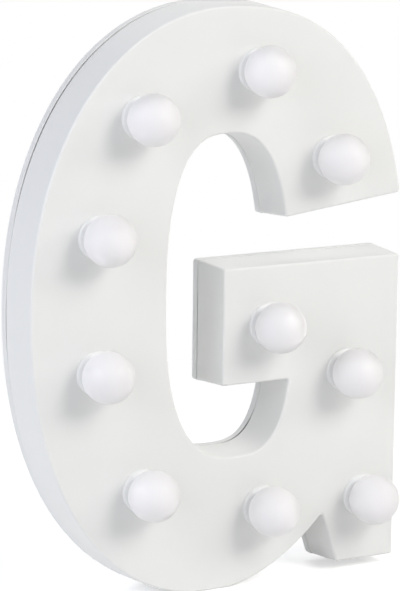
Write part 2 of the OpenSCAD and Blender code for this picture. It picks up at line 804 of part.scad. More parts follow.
// From the left cell's contact to the wire that joins the lamps' other pins
module lead_negative() {
    from = [leg_x - cell_x, bay_top - contact_t / 2 + tail_l + touch];
    to = tap(-1, 0.5);
    end_depth = wire_depth + wire_d + touch;
    corners = [
        deep(from, cell_depth),
        deep(from + [0, lead_dip], cell_depth),
        deep(to + [0, lead_run], end_depth + lead_dip),
        deep(to, end_depth + lead_dip),
        deep(to, end_depth - wire_d / 2)
    ];
    color("black") tube(rounded(corners, lead_bend), wire_d, [0.8, 0, 0.6]);
}

// From the switch through the resistor to the lamps
module lead_switch() {
    from = switch_place - [terminal_x, 0];
    start_depth = can_front - terminal_l - touch;
    near = resistor_place + [resistor_l / 2 + resistor_lead + touch, 0];
    far = resistor_place - [resistor_l / 2 + resistor_lead + touch, 0];
    to = tap(1, 0.75);
    end_depth = wire_depth + wire_d / 2 + touch;
    color("red") {
        tube(rounded([
            deep(from, start_depth),
            deep(from, start_depth - lead_dip),
            deep(near + [lead_run, 0], start_depth - lead_dip),
            deep(near + [lead_dip, 0], resistor_depth),
            deep(near, resistor_depth)
        ], lead_bend), wire_d, [0, 0, 1]);
        tube(rounded([
            deep(far, resistor_depth),
            deep(far - [lead_dip, 0], resistor_depth),
            deep(to, resistor_depth - lead_dip),
            deep(to, end_depth)
        ], lead_bend), wire_d, [0, 0, 1]);
    }
}

module bus(side) {
    path = [for (p = bus_corners(side)) deep(p, wire_depth)];
    tube(rounded(path, bus_bend), wire_d, [0, 1, 0]);
}

module bus_positive() {
    color("red") bus(1);
}

module bus_negative() {
    color("black") bus(-1);
}

// Push-on rings that hold the sockets behind the face
module socket_rings() {
    color("silver")
    for (p = lamps) {
        at(p, wall + touch + ring_t) difference() {
            cylinder(r = collar_r, h = ring_t);
            translate([0, 0, -cut]) cylinder(r = barrel_r + touch, h = ring_t + 2 * cut);
        }
    }
}

module globe(i) {
    centre = [0, 0, globe_stand];
    color("ghostwhite")
    at(lamps[i - 1], 0) difference() {
        union() {
            translate(centre) sphere(d = globe_d);
            translate([0, 0, -neck_l]) cylinder(r = neck_r, h = neck_l + globe_stand);
        }
        translate(centre) sphere(d = globe_d - 2 * globe_wall);
        translate([0, 0, -neck_l - cut]) cylinder(r = neck_r - globe_wall, h = neck_l + cut + globe_stand);
    }
}

// Collar, barrel and ledge turned from one outline
module socket(i) {
    round_steps = 4;
    edge = [
        for (k = [0 : round_steps])
            [collar_r - collar_round, collar_t - collar_round]
                + collar_round * [cos(90 * k / round_steps), sin(90 * k / round_steps)]
    ];
    outline = concat(
        [[barrel_in + collar_mouth, collar_t], [barrel_in, collar_t - collar_mouth]],
        [[barrel_in, ledge_t - barrel_l], [barrel_in - ledge_w, ledge_t - barrel_l]],
        [[barrel_in - ledge_w, -barrel_l], [barrel_r, -barrel_l], [barrel_r, 0], [collar_r, 0]],
        edge
    );
    color("white") at(lamps[i - 1], 0) rotate_extrude() polygon(outline);
}

// Turn of a lamp's pins, square to the wires that pass behind it
function pin_turn(i) = let (s = route_side(stop_of(i - 1))) atan2(s[1], s[0]);

module led(i) {
    color("lightyellow")
    at(lamps[i - 1], board_front) {
        cylinder(r = led_r + led_rim, h = led_rim_t);
        cylinder(r = led_r, h = led_body);
        translate([0, 0, led_body]) sphere(r = led_r);
        rotate(pin_turn(i)) for (side = [-1, 1]) {
            pin_l = wire_depth - wire_d / 2 - touch - board_front;
            translate([side * pin_pitch / 2, 0, -pin_l]) cylinder(d = pin_d, h = pin_l + led_rim_t / 2);
        }
    }
}

module led_board(i) {
    color("white")
    at(lamps[i - 1], board_rear) difference() {
        cylinder(r = board_r, h = board_t);
        rotate(pin_turn(i)) for (side = [-1, 1]) {
            translate([side * pin_pitch / 2, 0, -cut])
                cylinder(d = pin_d + 2 * pin_gap, h = board_t + 2 * cut);
        }
    }
}

front_shell();
back_cover();
cover_screws();
battery_door();
battery_1();
battery_2();
contact_positive();
contact_negative();
contact_bridge();
contact_spring_1();
contact_spring_2();
switch_can();
switch_knob();
resistor();
lead_positive();
lead_negative();
lead_switch();
bus_positive();
bus_negative();
socket_rings();
for (i = [1 : lamp_count]) {
    globe(i);
    socket(i);
    led(i);
    led_board(i);
}
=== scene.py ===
# %% [markdown]
# # A battery letter light
# The object is a hollow white letter, moulded in two halves, with ten opal globes on its face.
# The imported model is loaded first. It gives the true sizes and the moving bodies, and every new
# surface below is laid over it, in the same frame and in metres.

import math

import bmesh
import bpy
import numpy as np
from mathutils import Matrix, Vector


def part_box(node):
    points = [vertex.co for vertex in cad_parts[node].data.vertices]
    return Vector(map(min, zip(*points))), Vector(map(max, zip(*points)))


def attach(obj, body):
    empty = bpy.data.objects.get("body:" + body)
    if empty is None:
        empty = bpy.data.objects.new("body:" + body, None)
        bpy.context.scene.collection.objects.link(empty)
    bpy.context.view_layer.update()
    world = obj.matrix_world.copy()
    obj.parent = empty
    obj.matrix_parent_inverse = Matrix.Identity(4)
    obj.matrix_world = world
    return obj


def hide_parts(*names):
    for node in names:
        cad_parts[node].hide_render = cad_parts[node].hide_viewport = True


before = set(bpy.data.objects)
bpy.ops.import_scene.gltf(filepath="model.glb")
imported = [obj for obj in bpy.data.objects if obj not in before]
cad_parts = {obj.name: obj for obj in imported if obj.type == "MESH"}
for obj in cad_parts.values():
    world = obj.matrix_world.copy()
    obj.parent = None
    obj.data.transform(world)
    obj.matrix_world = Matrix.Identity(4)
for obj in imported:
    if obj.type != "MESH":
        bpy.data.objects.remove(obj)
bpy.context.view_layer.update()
MM = 0.001

# %% [markdown]
# ## The camera
# The photograph was taken from the left and a little above, with a long lens. Its angles were found
# by fitting the letter's flat face to the picture, so the camera stands at those angles and looks at
# the point of the face that lies in the middle of the picture. A long lens keeps the letter's
# upright edges nearly parallel.

# %% Camera at the photograph's angle
PHOTO_LONG_SIDE, FOCAL_PIXELS, SENSOR_MM = 591, 3155, 36
AZIMUTH, ELEVATION, ROLL = (math.radians(a) for a in (-30.6, 10.63, 0.70))
FACE_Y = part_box("front_shell")[0][1] / MM
AIM = Vector((-8.96, FACE_Y, 113.45)) * MM
DISTANCE = 1164.3 * MM


def add_object(name, data):
    """A new object in the scene that shows the given data."""
    made = bpy.data.objects.new(name, data)
    bpy.context.scene.collection.objects.link(made)
    return made


camera_data = bpy.data.cameras.new("photo_camera")
camera = add_object("photo_camera", camera_data)
bpy.context.scene.camera = camera
camera_data.sensor_width = SENSOR_MM
camera_data.lens = SENSOR_MM * FOCAL_PIXELS / PHOTO_LONG_SIDE
camera_data.clip_start, camera_data.clip_end = 0.05, 50

back = Vector((
    math.sin(AZIMUTH) * math.cos(ELEVATION),
    -math.cos(AZIMUTH) * math.cos(ELEVATION),
    math.sin(ELEVATION),
))
right = Vector((math.cos(AZIMUTH), math.sin(AZIMUTH), 0))
up = back.cross(right)
level = Matrix((right, up, back)).transposed()
camera.matrix_world = (level @ Matrix.Rotation(ROLL, 3, "Z")).to_4x4()
camera.location = AIM + back * DISTANCE
print("lens", round(camera_data.lens, 1), "mm, at", [round(c, 3) for c in camera.location])

# %% [markdown]
# ## Stage and light
# A white sweep of paper fills the picture behind the real object. Here the floor is pale paper that
# keeps the soft shadow near the letter, and turns plain white further out. The world is plain white
# to the camera too, but it lights the object only with the weak glow of a light tent, which is
# brightest in front and fades to nothing behind. A large lamp at the upper right puts the soft
# shadows to the lower left of the globes. Lamps at the left and right shade the walls, and two
# lamps behind keep the back from going dark.


# %% Colours and one helper for nodes
def srgb(code):
    """Linear colour of a hex code: low values are divided by 12.92, others follow the 2.4 power."""
    channel = np.array([int(code[i:i + 2], 16) for i in (1, 3, 5)]) / 255
    linear = np.where(channel <= 0.04045, channel / 12.92, ((channel + 0.055) / 1.055) ** 2.4)
    return (*linear.tolist(), 1.0)


def add_node(tree, kind, settings=None, inputs=None):
    """Adds one node, sets its plain settings, and fills or links its inputs by name or number."""
    node = tree.nodes.new("ShaderNode" + kind)
    for name, value in (settings or {}).items():
        setattr(node, name, value)
    for key, value in (inputs or {}).items():
        if isinstance(value, bpy.types.NodeSocket):
            tree.links.new(value, node.inputs[key])
        else:
            node.inputs[key].default_value = value
    return node


def seen_directly(tree):
    """One for rays from the camera, also by way of a mirror or a clear piece, and zero for light."""
    path = add_node(tree, "LightPath")
    seen = path.outputs["Is Camera Ray"]
    for kind in ("Is Glossy Ray", "Is Transmission Ray"):
        either = add_node(tree, "Math", {"operation": "MAXIMUM"}, {0: seen, 1: path.outputs[kind]})
        seen = either.outputs[0]
    return seen


WHITE = (1, 1, 1, 1)
print("middle grey in linear light", round(srgb("#808080")[0], 3))

# %% White world for the camera, a weak glow for the object
TENT_LIGHT = 0.18
world = bpy.data.worlds.new("light_tent")
world.use_nodes = True
bpy.context.scene.world = world
tree = world.node_tree
tree.nodes.clear()
toward = add_node(tree, "SeparateXYZ", None,
                  {0: add_node(tree, "TexCoord").outputs["Generated"]})
# Twice the mean glow straight in front of the letter, and none straight behind it
front = add_node(tree, "MapRange", None, {
    "Value": toward.outputs["Y"], "From Min": -1.0, "From Max": 1.0,
    "To Min": 2 * TENT_LIGHT, "To Max": 0.0})
tent = add_node(tree, "Background", None,
                {"Color": srgb("#FDFEFF"), "Strength": front.outputs[0]})
white = add_node(tree, "Background", None, {"Color": WHITE, "Strength": 1.0})
both = add_node(tree, "MixShader", None,
                {0: seen_directly(tree), 1: tent.outputs[0], 2: white.outputs[0]})
add_node(tree, "OutputWorld", None, {"Surface": both.outputs[0]})
bpy.context.scene.view_settings.view_transform = "Standard"
print("world", world.name, "with a mean glow of", TENT_LIGHT)

# %% Paper floor
FLOOR_RADIUS, FLOOR_SIDES = 3.0, 96
# Metres from the middle where the paper starts to turn plain white, and where it is all white
FADE_START, FADE_END = 0.10, 0.42
# What the camera sees on top of the lit paper, so that the paper beside the shadow comes out white
PAPER_LIFT = 0.43
spokes = np.linspace(0, 2 * np.pi, FLOOR_SIDES, endpoint=False)
floor_edge = np.stack([np.cos(spokes), np.sin(spokes), 0 * spokes], 1) * FLOOR_RADIUS
floor_mesh = bpy.data.meshes.new("paper_floor")
floor_mesh.from_pydata(floor_edge, [], [list(range(FLOOR_SIDES))])
floor = add_object("paper_floor", floor_mesh)

# Sweep paper: matt white that takes a soft shadow and shows no horizon.
paper = bpy.data.materials.new("white_sweep_paper")
paper.use_nodes = True
tree = paper.node_tree
tree.nodes.clear()
place = add_node(tree, "TexCoord").outputs["Object"]
reach = add_node(tree, "VectorMath", {"operation": "LENGTH"}, {0: place})
fade = add_node(tree, "MapRange", {"interpolation_type": "SMOOTHSTEP"},
                {"Value": reach.outputs["Value"], "From Min": FADE_START, "From Max": FADE_END})
seen = seen_directly(tree)
plain = add_node(tree, "Math", {"operation": "MULTIPLY"}, {0: fade.outputs[0], 1: seen})
lift = add_node(tree, "Math", {"operation": "MULTIPLY"}, {0: seen, 1: PAPER_LIFT})
sheet = add_node(tree, "BsdfDiffuse", None, {"Color": srgb("#F2F2F2")})
glow = add_node(tree, "Emission", None, {"Color": WHITE, "Strength": lift.outputs[0]})
lit = add_node(tree, "AddShader", None, {0: sheet.outputs[0], 1: glow.outputs[0]})
white = add_node(tree, "Emission", None, {"Color": WHITE, "Strength": 1.0})
mixed = add_node(tree, "MixShader", None,
                 {0: plain.outputs[0], 1: lit.outputs[0], 2: white.outputs[0]})
add_node(tree, "OutputMaterial", None, {"Surface": mixed.outputs[0]})
floor_mesh.materials.append(paper)
print("floor", floor.name, "of radius", FLOOR_RADIUS, "m")

# %% Soft lamps
# Each row: name, place in metres, side of the square lamp in metres, watts, colour
LAMPS = [
    ("key_upper_right", (0.55, -1.22, 1.05), 0.75, 12.0, "#FFFDF9"),
    ("side_left", (-1.33, 0.05, 0.65), 0.90, 5.6, "#EDF1FF"),
    ("wide_left", (-1.50, -0.50, 0.50), 1.60, 10.4, "#F4F7FF"),
    ("side_right", (1.12, -0.78, 0.73), 0.45, 3.2, "#FFFDF8"),
    ("rear_fill", (0.40, 1.15, 1.15), 0.90, 8.3, "#FFFFFF"),
    ("back_fill", (0.00, 1.70, 0.15), 0.60, 6.5, "#FFFFFF"),
]
# The mirror image of a lamp behind would glare along the letter's edges
NO_MIRROR_IMAGE = ("rear_fill", "back_fill")
for name, spot, side, watts, colour in LAMPS:
    lamp_data = bpy.data.lights.new(name, "AREA")
    lamp_data.size, lamp_data.energy = side, watts
    lamp_data.color = srgb(colour)[:3]
    lamp = add_object(name, lamp_data)
    lamp.location = spot
    lamp.visible_glossy = name not in NO_MIRROR_IMAGE
    lamp.rotation_euler = (AIM - Vector(spot)).to_track_quat("-Z", "Y").to_euler()
print("lamps", [row[0] for row in LAMPS])

# %% [markdown]
# ## Finishes
# The letter is white ABS from a spark-eroded mould: satin, with a grain of a few tenths of a
# millimetre and a hardly visible cloudiness where the melt flowed. The same few nodes serve each
# moulded plastic here, with its own colours, gloss and grain. Every pattern is sized in millimetres
# of the real surface.

# %% Helpers for finishes
# Nearly all values of a noise lie between these two
NOISE_LOW, NOISE_HIGH = 0.25, 0.75


def new_finish(name):
    """A material, its node tree and its main shader."""
    finish = bpy.data.materials.new(name)
    finish.use_nodes = True
    return finish, finish.node_tree, finish.node_tree.nodes["Principled BSDF"]


def noise(tree, place, size_mm, detail):
    """Values of a noise whose blots have about the given size."""
    made = add_node(tree, "TexNoise", None,
                    {"Vector": place, "Scale": 1 / (size_mm * MM), "Detail": detail})
    return made.outputs["Fac"]


def vary(tree, shader, slow, fine, colours, gloss, bump):
    """A slow noise mixes two close colours. A fine noise moves the gloss, given as roughness and
    spread, and the surface, given as strength and millimetres."""
    tone = add_node(tree, "Mix", {"data_type": "RGBA"},
                    {0: slow, 6: srgb(colours[0]), 7: srgb(colours[1])})
    sheen = add_node(tree, "MapRange", None, {
        "Value": fine, "From Min": NOISE_LOW, "From Max": NOISE_HIGH,
        "To Min": gloss[0] - gloss[1], "To Max": gloss[0] + gloss[1]})
    relief = add_node(tree, "Bump", None,
                      {"Strength": bump[0], "Distance": bump[1] * MM, "Height": fine})
    tree.links.new(tone.outputs[2], shader.inputs["Base Color"])
    tree.links.new(sheen.outputs[0], shader.inputs["Roughness"])
    tree.links.new(relief.outputs[0], shader.inputs["Normal"])


# %% Moulded plastics
PLASTIC_IOR, PLASTIC_SPREAD, PLASTIC_BUMP = 1.53, 0.05, 0.5
FLOW_DETAIL, GRAIN_DETAIL = 2.0, 1.0


def moulded(name, colour, shade, roughness, grain_mm, bump_mm, flow_mm=35.0, **sockets):
    """Moulded plastic: slow noise where the melt flowed, fine noise for the grain of the mould."""
    finish, tree, shader = new_finish(name)
    for socket, value in {"Roughness": roughness, "IOR": PLASTIC_IOR, **sockets}.items():
        shader.inputs[socket.replace("_", " ")].default_value = value
    place = add_node(tree, "TexCoord").outputs["Object"]
    flow, grain = noise(tree, place, flow_mm, FLOW_DETAIL), noise(tree, place, grain_mm, GRAIN_DETAIL)
    vary(tree, shader, flow, grain, (colour, shade), (roughness, PLASTIC_SPREAD),
         (PLASTIC_BUMP, bump_mm))
    return finish


# ABS, satin from a spark-eroded mould: a soft white with wide dull highlights.
# The grain is drawn at 0.5 mm, about twice its real size, so that it shows at this distance.
shell_abs = moulded("abs_satin_white", "#EBEBE9", "#E7E8E7", 0.42, 0.5, 0.012)
# The same ABS from the cover's own mould: a trace greyer, a little more matt, the same grain.
cover_abs = moulded("abs_matt_white_cover", "#E8E8E7", "#E4E5E4", 0.48, 0.5, 0.016)
# Polypropylene of the sockets: slightly waxy, smoother than the shell, its grain coarser than real.
socket_pp = moulded("polypropylene_white_socket", "#EEEEED", "#E9EAEA", 0.36, 0.6, 0.006)
# Opal polystyrene of the globes: a clean white, in which light sinks a little before it comes back.
# A polished mould leaves no grain, only a ripple drawn at 0.9 mm that hardly shows.
globe_ps = moulded("polystyrene_opal_globe", "#F0EEEF", "#EDEBEC", 0.37, 0.9, 0.001, 12.0,
                   Subsurface_Weight=1.0, Subsurface_Radius=(1.0, 1.0, 1.0), Subsurface_Scale=6 * MM)
globe_ps.node_tree.nodes["Principled BSDF"].subsurface_method = "BURLEY"
# Black ABS of the switch knob: dark with a grey satin sheen.
knob_abs = moulded("abs_black_knob", "#191A1C", "#1F2022", 0.40, 0.4, 0.010, 4.0)
print("plastics", [m.name for m in (shell_abs, cover_abs, socket_pp, globe_ps, knob_abs)])

# %% [markdown]
# ## Building surfaces
# Every new piece is a stack of closed loops: an outline, or a circle, that is carried along a
# profile and skinned with four-sided faces. Points are written in the letter's own millimetres:
# x from its left edge, depth behind its face, z above its lowest point.

# %% Loops, skins and turned shapes
FINE_SIDES, SMALL_SIDES, TINY_SIDES = 72, 32, 24


def skin(loops, caps=True):
    """Skin of R loops with N points each: quads join each loop to the next, flat caps close the ends.
    Loops run anticlockwise seen from the front, and go from back to front on an outer wall."""
    loops = np.asarray(loops, float)
    count, sides = loops.shape[:2]
    index = np.arange(count * sides).reshape(count, sides)
    ahead = np.roll(index, -1, 1)
    quads = np.stack([index[:-1], ahead[:-1], ahead[1:], index[1:]], -1).reshape(-1, 4)
    faces = quads.tolist()
    if caps:
        faces += [index[0, ::-1].tolist(), index[-1].tolist()]
    return loops.reshape(-1, 3), faces


def joined(*shapes):
    """Several solids as one: their points are stacked and their faces count on."""
    starts = np.cumsum([0] + [len(points) for points, _ in shapes])
    faces = [[i + s for i in face] for (_, fs), s in zip(shapes, starts) for face in fs]
    return np.concatenate([points for points, _ in shapes]), faces


def circle(sides):
    """Cosines and sines of even steps round a circle."""
    angle = np.linspace(0, 2 * np.pi, sides, endpoint=False)
    return np.cos(angle), np.sin(angle)


def turned(profile, place, sides=48, caps=True):
    """A turned solid: rows of radius and depth go round a line that runs front to back."""
    profile = np.asarray(profile, float)
    cos, sin = circle(sides)
    radius, depth = profile[:, :1], profile[:, 1:]
    return skin(np.stack([place[0] + radius * cos, depth + 0 * cos, place[1] + radius * sin], -1), caps)


def plug(radius, rear, front, place, sides=48):
    """A plain round plug between two depths."""
    return turned([(0, rear), (radius, rear), (radius, front), (0, front)], place, sides)


def rounded_edge(radius, inset, depth, steps=5, to_front=True):
    """Quarter round from a wall to a face: insets grow by 1 - cos, depths by 1 - sin of the angle."""
    turn = np.linspace(0, np.pi / 2, steps + 1)
    drop = radius * (1 - np.sin(turn))
    return np.stack([inset + radius * (1 - np.cos(turn)), depth + (drop if to_front else -drop)], 1)


print("a plug has", len(plug(1, 1, 0, (0, 0))[1]), "faces")

# %% From loops to finished pieces
LETTER_W = 158.6
MERGE_M = 1e-7


def to_frame(points):
    """Letter millimetres to the frame's metres: x is centred and depth starts at the face."""
    return (np.asarray(points) - [LETTER_W / 2, -FACE_Y, 0]) * MM


def mesh_object(name, shape):
    """A mesh object at the origin from letter points and faces, with doubled points merged."""
    mesh = bpy.data.meshes.new(name)
    mesh.from_pydata(to_frame(shape[0]), [], shape[1])
    work = bmesh.new()
    work.from_mesh(mesh)
    bmesh.ops.remove_doubles(work, verts=work.verts, dist=MERGE_M)
    work.to_mesh(mesh)
    work.free()
    return add_object(name, mesh)


def carve(base, steps):
    """Unites and cuts a base with other solids, in order, and keeps the plain mesh that results."""
    tools = []
    for number, (operation, shape) in enumerate(steps):
        tool = mesh_object(f"tool_{number}", shape)
        change = base.modifiers.new(f"step_{number}", "BOOLEAN")
        change.operation, change.object, change.solver = operation, tool, "EXACT"
        tools.append(tool)
    bpy.context.view_layer.update()
    shown = base.evaluated_get(bpy.context.evaluated_depsgraph_get())
    result = bpy.data.meshes.new_from_object(shown)
    base.modifiers.clear()
    base.data = result
    for tool in tools:
        bpy.data.meshes.remove(tool.data)


def finish_piece(piece, finish, body, nodes, sharp_deg=35):
    """Smooth shading that breaks at sharp edges, then finish, body, slot and the nodes it replaces."""
    mesh = piece.data
    mesh.polygons.foreach_set("use_smooth", np.ones(len(mesh.polygons), bool))
    mesh.set_sharp_from_angle(angle=math.radians(sharp_deg))
    mesh.materials.clear()
    mesh.materials.append(finish)
    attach(piece, body)
    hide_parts(*nodes)
    print(piece.name, len(mesh.polygons), "faces")


# %% [markdown]
# ## The letter's outline
# The rim and the counter are each made of four quarter curves, squarer or rounder than an ellipse.
# Straight edges make the foot, the leg, the crossbar and the end of the arm. Real mould corners are
# never sharp, so every corner of the outline gets a small round. An inset moves the whole outline
# into the material, which gives the loops for rounded edges and inner walls.

# %% Quarter curves and straight edges
MID_Z, QUARTER = 110.0, math.pi / 2
# Each row: centre x, reach in x, reach in z, squareness
RIM = [(82, 78.79, 110, 2.4), (82, -82, 110, 2.1), (78, -78, -110.6, 2.15), (78, 82, -110.6, 1.85)]
COUNTER = [(86, 25, -59.3, 3.1), (86, -29.7, -59.3, 2.5), (82, -25.7, 63, 2.65), (82, 27, 63, 2.6)]
ARM_OUT_Z, ARM_IN_Z = 146.2, 140.0
BAR_LEFT, BAR_TOP, BAR_LOW = 80.6, 122.4, 78.0
FOOT_LEFT, FOOT_Z, NOTCH_X = 132.9, 3.75, 126.0
RIM_POINTS, COUNTER_POINTS, STRAIGHT_POINTS = 190, 150, 10


def quarter(curve, start, end, steps=240):
    """Points of a quarter curve: each reach times the cosine or sine to the power 2 / squareness."""
    centre, reach_x, reach_z, power = curve
    angle = np.linspace(start, end, steps)
    x = centre + reach_x * np.clip(np.cos(angle), 0, 1) ** (2 / power)
    z = MID_Z + reach_z * np.clip(np.sin(angle), 0, 1) ** (2 / power)
    return np.stack([x, np.maximum(z, 0)], 1)


def angle_at(curve, x=None, z=None):
    """Angle of the quarter curve's point at a given x or z."""
    centre, reach_x, reach_z, power = curve
    if x is None:
        return math.asin(((z - MID_Z) / reach_z) ** (power / 2))
    return math.acos(((x - centre) / reach_x) ** (power / 2))


rim_path = np.concatenate([
    quarter(RIM[0], angle_at(RIM[0], z=ARM_OUT_Z), QUARTER),
    quarter(RIM[1], QUARTER, 0)[1:],
    quarter(RIM[2], 0, QUARTER)[1:],
    quarter(RIM[3], QUARTER, angle_at(RIM[3], x=NOTCH_X))[1:],
])
counter_path = np.concatenate([
    quarter(COUNTER[0], angle_at(COUNTER[0], z=BAR_LOW), QUARTER),
    quarter(COUNTER[1], QUARTER, 0)[1:],
    quarter(COUNTER[2], 0, QUARTER)[1:],
    quarter(COUNTER[3], QUARTER, angle_at(COUNTER[3], z=ARM_IN_Z))[1:],
])
straight = np.array([
    rim_path[-1], (FOOT_LEFT, FOOT_Z), (LETTER_W, FOOT_Z), (LETTER_W, BAR_TOP),
    (BAR_LEFT, BAR_TOP), (BAR_LEFT, BAR_LOW), counter_path[0],
])
# Edges in order round the letter, with the number of points on each
EDGES = [(rim_path, RIM_POINTS)]
EDGES += [(pair, STRAIGHT_POINTS) for pair in zip(straight[:-1], straight[1:])]
EDGES += [(counter_path, COUNTER_POINTS), ((counter_path[-1], rim_path[0]), STRAIGHT_POINTS)]
print("edges round the letter", len(EDGES))


# %% The outline with rounded corners and an inset
def letter_loop(inset, corner=1.0, least=0.3, arc=7):
    """Outline drawn in by an inset: edges are trimmed by r tan(turn / 2), arcs of radius r join them,
    and every point moves against the outward normal. Radii allow for the inset, so that corners end
    with the wanted round. Nothing goes below the standing surface."""
    edges = [np.asarray(points, float) for points, _ in EDGES]
    leave = [(e[-1] - e[-2]) / np.linalg.norm(e[-1] - e[-2]) for e in edges]
    enter = [(e[1] - e[0]) / np.linalg.norm(e[1] - e[0]) for e in edges]
    following = enter[1:] + enter[:1]
    turn = [math.atan2(a[0] * b[1] - a[1] * b[0], a @ b) for a, b in zip(leave, following)]
    radii = [max(least, corner + inset * math.copysign(1, t)) for t in turn]
    trim = [radius * abs(math.tan(t / 2)) for t, radius in zip(turn, radii)]
    loop, normal = [], []
    for i, edge in enumerate(edges):
        along = np.concatenate([[0], np.cumsum(np.linalg.norm(np.diff(edge, axis=0), axis=1))])
        stops = np.linspace(trim[i - 1], along[-1] - trim[i], EDGES[i][1])
        points = np.stack([np.interp(stops, along, edge[:, k]) for k in (0, 1)], 1)
        ahead = np.gradient(points, axis=0)
        loop.append(points)
        normal.append(np.stack([ahead[:, 1], -ahead[:, 0]], 1))
        sign = math.copysign(1, turn[i])
        out = np.array([leave[i][1], -leave[i][0]]) * sign
        middle = edge[-1] - leave[i] * trim[i] - out * radii[i]
        swing = turn[i] * np.linspace(0, 1, arc + 2)[1:-1]
        spoke = np.stack([np.cos(swing) * out[0] - np.sin(swing) * out[1],
                          np.sin(swing) * out[0] + np.cos(swing) * out[1]], 1)
        loop.append(middle + radii[i] * spoke)
        normal.append(spoke * sign)
    loop, normal = np.concatenate(loop), np.concatenate(normal)
    normal /= np.linalg.norm(normal, axis=1, keepdims=True)
    return np.maximum(loop - inset * normal, [-np.inf, 0])


def letter_stack(profile):
    """Loops of the letter for rows of inset and depth. A depth may be a function of the flat loop."""
    made = []
    for inset, depth in profile:
        flat = letter_loop(inset)
        depths = depth(flat) if callable(depth) else np.full(len(flat), depth)
        made.append(np.stack([flat[:, 0], depths, flat[:, 1]], 1))
    return np.array(made)


outline = letter_loop(0)
print("outline points", len(outline), "box", outline.min(0).round(2), outline.max(0).round(2))

# %% [markdown]
# ## Front shell
# The face and the side walls are one moulding with a rounded front edge, which carries the bright
# line seen along the real letter. The profile runs from the inner face, up the inner wall, over the
# back rim and forward along the outer wall to the face. The outer wall leans out a little towards
# the back, which is the draft that lets such a part leave its mould. Round holes for the lamps and
# hollow posts for the screws are added as in the real part.

# %% Front shell
WALL, SHELL_D, EDGE_R, DRAFT = 2.0, 17.6, 0.9, 0.8
# Fillet inside the face, broken edges of the back rim inside and outside, flat ring of the face
FILLET, BREAK_IN, BREAK_OUT, FACE_RING = 0.5, 0.15, 0.1, 0.5
BOSS_R, BOSS_REAR, BOSS_BREAK, PILOT_R, PILOT_D, HOLE_R = 3.2, 17.65, 0.2, 1.2, 10.0, 7.5
# Cutting tools reach this far past what they cut
PAST = 1
LAMP_COUNT = 10
lamp_boxes = [np.array(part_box(f"globe_{i + 1}")) / MM for i in range(LAMP_COUNT)]
LAMP_PLACES = [box.mean(0)[[0, 2]] + [LETTER_W / 2, 0] for box in lamp_boxes]
SCREW_PLACES = [(146.44, 161.05), (68.13, 210.03), (19.84, 166.9), (12.41, 72.37), (50.12, 14.83),
                (150.1, 12.25), (150.1, 113.9), (89.1, 113.9)]

shell_profile = np.concatenate([
    [(WALL + FILLET, WALL), (WALL, WALL + FILLET)],
    [(WALL, SHELL_D - BREAK_IN), (WALL - BREAK_IN, SHELL_D)],
    [(BREAK_OUT - DRAFT, SHELL_D), (-DRAFT, SHELL_D - BREAK_OUT), (-DRAFT / 2, SHELL_D / 2)],
    rounded_edge(EDGE_R, 0, 0),
    [(EDGE_R + FACE_RING, 0)],
])
boss_rows = [(0, BOSS_REAR), (BOSS_R - BOSS_BREAK, BOSS_REAR), (BOSS_R, BOSS_REAR - BOSS_BREAK),
             (BOSS_R, WALL / 2), (0, WALL / 2)]
shell = mesh_object("front_shell_moulding", skin(letter_stack(shell_profile)))
bosses = joined(*[turned(boss_rows, p, SMALL_SIDES) for p in SCREW_PLACES])
pilots = joined(*[plug(PILOT_R, BOSS_REAR + PAST, BOSS_REAR - PILOT_D, p, TINY_SIDES)
                  for p in SCREW_PLACES])
holes = joined(*[plug(HOLE_R, WALL + PAST, -PAST, p) for p in LAMP_PLACES])
carve(shell, [("UNION", bosses), ("DIFFERENCE", pilots), ("DIFFERENCE", holes)])
finish_piece(shell, shell_abs, "letter", ["front_shell"])

# %% [markdown]
# ## Back cover
# The cover is a plate with a rounded edge that stands out just past the leaning walls, and a lip
# inside keeps it in place. The seam in front of its edge is nearly closed. It gapes only in a few
# places, where it shows as a dark line, and at the left the edge sits a little high, as on the real
# letter. Cutting tools with flared ends leave rounded rims at the keyhole, the screw recesses, the
# switch dish, the battery bay and the finger scoop.

# %% Flat loops for the cutting tools
BODY_D = 21.5


def oblong(width, height, corner, place, arc=6):
    """Rounded rectangle: quarter arcs about four corner centres, anticlockwise from the right."""
    angle = np.linspace(0, np.pi / 2, arc + 1) + np.arange(4)[:, None] * np.pi / 2
    side = np.array([(1, 1), (-1, 1), (-1, -1), (1, -1)])[:, None]
    centre = side * [width / 2 - corner, height / 2 - corner]
    return (centre + corner * np.stack([np.cos(angle), np.sin(angle)], -1)).reshape(-1, 2) + place


def growing(width, height, corner, place, arc=6):
    """Rounded rectangle as a function of its growth on every side."""
    return lambda grow: oblong(width + 2 * grow, height + 2 * grow, corner + grow, place, arc)


def keyhole(grow, place, entry=4.0, slot=2.0, rise=8.0):
    """Round entry with a narrow slot above it: a big arc below, a small arc on top, straight sides."""
    entry, slot = entry + grow, slot + grow
    meet = math.asin(slot / entry)
    low = np.linspace(np.pi / 2 + meet, 5 * np.pi / 2 - meet, 41)
    top = np.linspace(0, np.pi, 17)
    big = entry * np.stack([np.cos(low), np.sin(low)], 1)
    small = slot * np.stack([np.cos(top), np.sin(top)], 1) + [0, rise]
    return np.concatenate([big, small]) + place


def stack(outline, rows):
    """Solid from rows of growth and depth: outline(grow) gives each flat loop, set at its depth."""
    loops = [(outline(grow), depth) for grow, depth in rows]
    return skin([np.stack([flat[:, 0], np.full(len(flat), depth), flat[:, 1]], 1)
                 for flat, depth in loops])


def flared(outline, front, ease=0.35, past=0.5):
    """Cutting tool from a front depth out past the back face: it widens there along a quarter round,
    by 1 - cos of the angle, so the rim of the cut comes out rounded."""
    turn = np.linspace(np.pi / 2, 0, 6)
    rows = zip(ease * (1 - np.cos(turn)), BODY_D - ease * (1 - np.sin(turn)))
    return stack(outline, [(ease, BODY_D + past), *rows, (0.0, front)])


